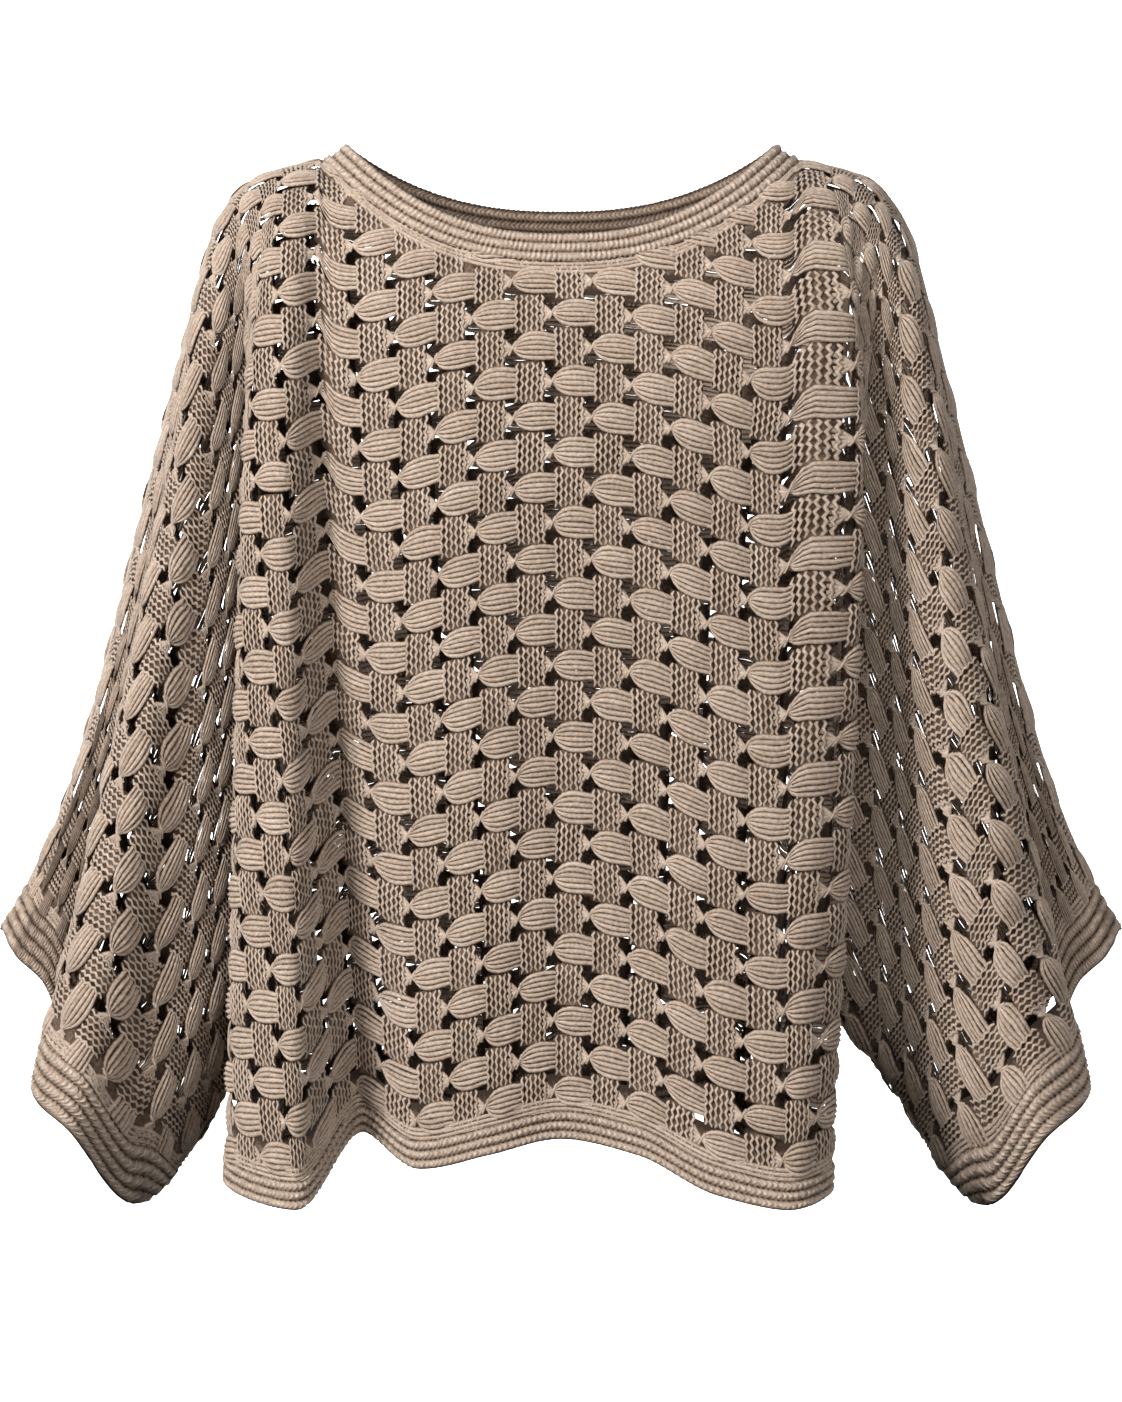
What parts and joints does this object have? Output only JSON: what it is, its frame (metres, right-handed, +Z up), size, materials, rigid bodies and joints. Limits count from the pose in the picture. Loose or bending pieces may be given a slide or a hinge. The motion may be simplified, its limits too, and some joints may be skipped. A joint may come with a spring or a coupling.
{
  "type": "batwing poncho pullover",
  "caption": "Boat-neck batwing poncho pullover in openwork basket knit, hollow and draped as worn, with ribbed neckband, cuffs and hem.",
  "frame": {"origin": "middle of the shoulder line, where the wearer's shoulders hold the garment up", "axes": "+X to the right as seen from the front, -Y out of the front, +Z up"},
  "size_m": [0.6742, 0.2477, 0.6361],
  "materials": {
    "basket_knit": "matte heathered yarn",
    "rib_knit": "matte heathered yarn"
  },
  "bodies": {
    "root": {"front_panel": "basket_knit", "back_panel": "basket_knit", "neckband": "rib_knit", "hem_band": "rib_knit", "cuff_left": "rib_knit", "cuff_right": "rib_knit"}
  },
  "joints": []
}
